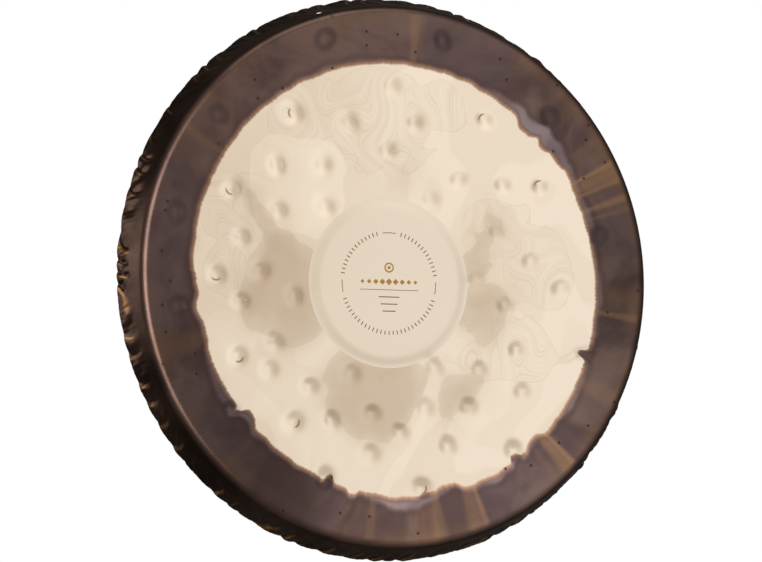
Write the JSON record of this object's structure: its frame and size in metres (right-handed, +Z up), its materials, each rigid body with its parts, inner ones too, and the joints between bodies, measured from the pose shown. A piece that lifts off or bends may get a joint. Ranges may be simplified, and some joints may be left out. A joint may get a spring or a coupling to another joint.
{
  "type": "tam tam gong",
  "caption": "Round hammered gong with a polished dimpled face, dark border, raised centre disc and flared crimped rim.",
  "frame": {"origin": "on the gong's axis, halfway between the front of the centre disc and the back edge", "axes": "-Y is where the face looks, +Z is up when the gong hangs from its holes"},
  "size_m": [0.56, 0.0372, 0.5598],
  "materials": {
    "disc_metal": "satin",
    "ink": "printed",
    "polished_metal": "polished",
    "oxidised_metal": "oxidised satin",
    "dark_metal": "oxidised, worn on its crests"
  },
  "bodies": {
    "root": {"boss": "disc_metal", "centre_mark": "ink", "playing_face": "polished_metal", "border": "oxidised_metal", "shoulder": "dark_metal", "rim": "dark_metal", "crimped_edge": "dark_metal"}
  },
  "joints": []
}
